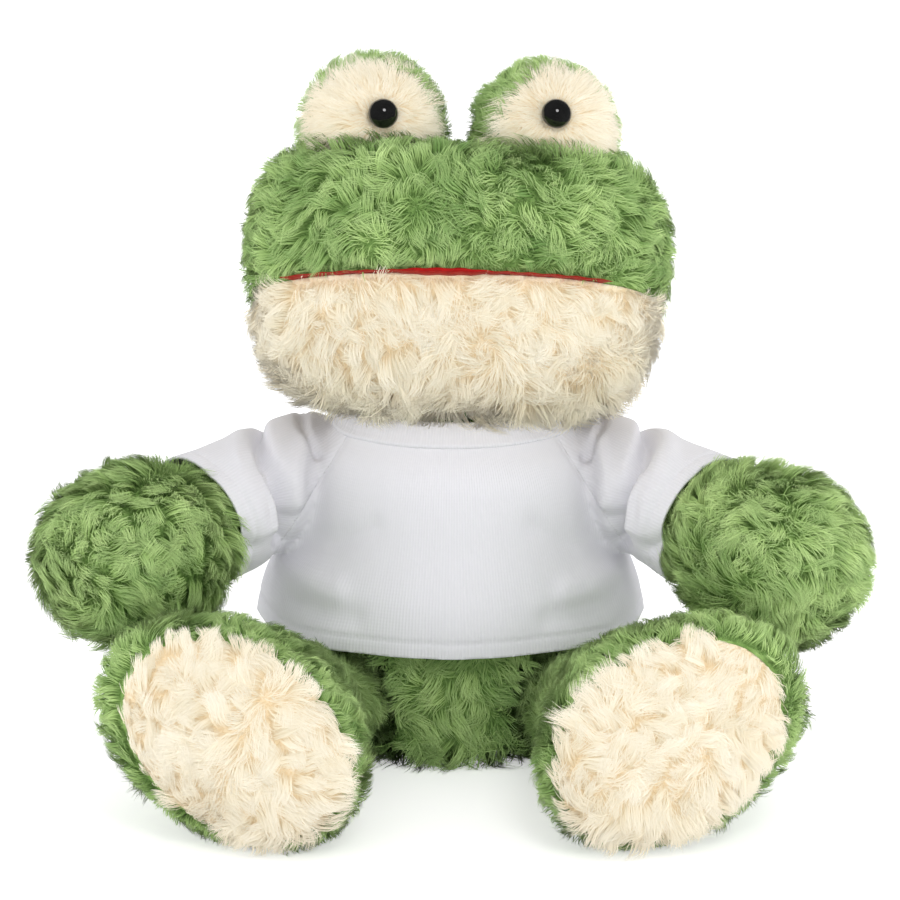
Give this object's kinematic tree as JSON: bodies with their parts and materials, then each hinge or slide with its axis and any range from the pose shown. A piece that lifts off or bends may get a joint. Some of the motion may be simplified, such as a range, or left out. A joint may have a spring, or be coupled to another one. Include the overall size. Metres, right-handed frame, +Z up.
{
  "type": "plush frog",
  "caption": "Sitting long-pile plush frog with domed eye mounds, broad feet, a turning head, swinging limbs and a white raglan T-shirt.",
  "frame": {"origin": "on the flat base under the torso, midway between the hips and below the neck", "axes": "+Z up, the frog faces -Y, +X is to the right of someone who looks at its face"},
  "size_m": [0.2546, 0.1917, 0.215],
  "materials": {
    "green_plush": "matte",
    "cream_plush": "matte",
    "white_jersey": "matte",
    "red_satin": "satin",
    "eye_black": "gloss",
    "washer_nylon": "satin",
    "fibre_fill": "matte"
  },
  "bodies": {
    "torso": {"torso_skin": "green_plush", "torso_stuffing": "fibre_fill", "shirt_front": "white_jersey", "shirt_back": "white_jersey", "shirt_collar": "white_jersey"},
    "neck": {"neck": "green_plush"},
    "head": {"head_crown": "green_plush", "muzzle": "cream_plush", "mouth_strip": "red_satin", "head_stuffing": "fibre_fill", "eye_mound_left": "green_plush", "eye_patch_left": "cream_plush", "mound_stuffing_left": "fibre_fill", "eye_left": "eye_black", "eye_washer_left": "washer_nylon", "eye_mound_right": "green_plush", "eye_patch_right": "cream_plush", "mound_stuffing_right": "fibre_fill", "eye_right": "eye_black", "eye_washer_right": "washer_nylon"},
    "arm_left": {"arm_left": "green_plush", "arm_stuffing_left": "fibre_fill", "sleeve_left": "white_jersey"},
    "leg_left": {"leg_left": "green_plush", "sole_left": "cream_plush", "leg_stuffing_left": "fibre_fill"},
    "arm_right": {"arm_right": "green_plush", "arm_stuffing_right": "fibre_fill", "sleeve_right": "white_jersey"},
    "leg_right": {"leg_right": "green_plush", "sole_right": "cream_plush", "leg_stuffing_right": "fibre_fill"}
  },
  "joints": [
    {"name": "head_turn", "type": "hinge", "parent": "torso", "child": "neck", "pos_m": [0, 0.002, 0.101], "axis": [0, 0, 1], "range_deg": [-40, 40], "stiffness_Nm_per_rad": 0.3},
    {"name": "head_nod", "type": "hinge", "parent": "neck", "child": "head", "pos_m": [0, 0.002, 0.101], "axis": [1, 0, 0], "range_deg": [-8, 6], "stiffness_Nm_per_rad": 2},
    {"name": "arm_left_raise", "type": "hinge", "parent": "torso", "child": "arm_left", "pos_m": [-0.048, 0.002, 0.0835], "axis": [-0.6942, 0.7198, 0], "range_deg": [-10, 30], "stiffness_Nm_per_rad": 0.5},
    {"name": "arm_right_raise", "type": "hinge", "parent": "torso", "child": "arm_right", "pos_m": [0.048, 0.002, 0.0835], "axis": [-0.6942, -0.7198, 0], "range_deg": [-10, 30], "stiffness_Nm_per_rad": 0.5},
    {"name": "leg_left_drop", "type": "hinge", "parent": "torso", "child": "leg_left", "pos_m": [-0.038, -0.036, 0.0188], "axis": [1, 0, 0], "range_deg": [0, 45], "stiffness_Nm_per_rad": 0.5},
    {"name": "leg_right_drop", "type": "hinge", "parent": "torso", "child": "leg_right", "pos_m": [0.038, -0.036, 0.0188], "axis": [1, 0, 0], "range_deg": [0, 45], "stiffness_Nm_per_rad": 0.5}
  ]
}
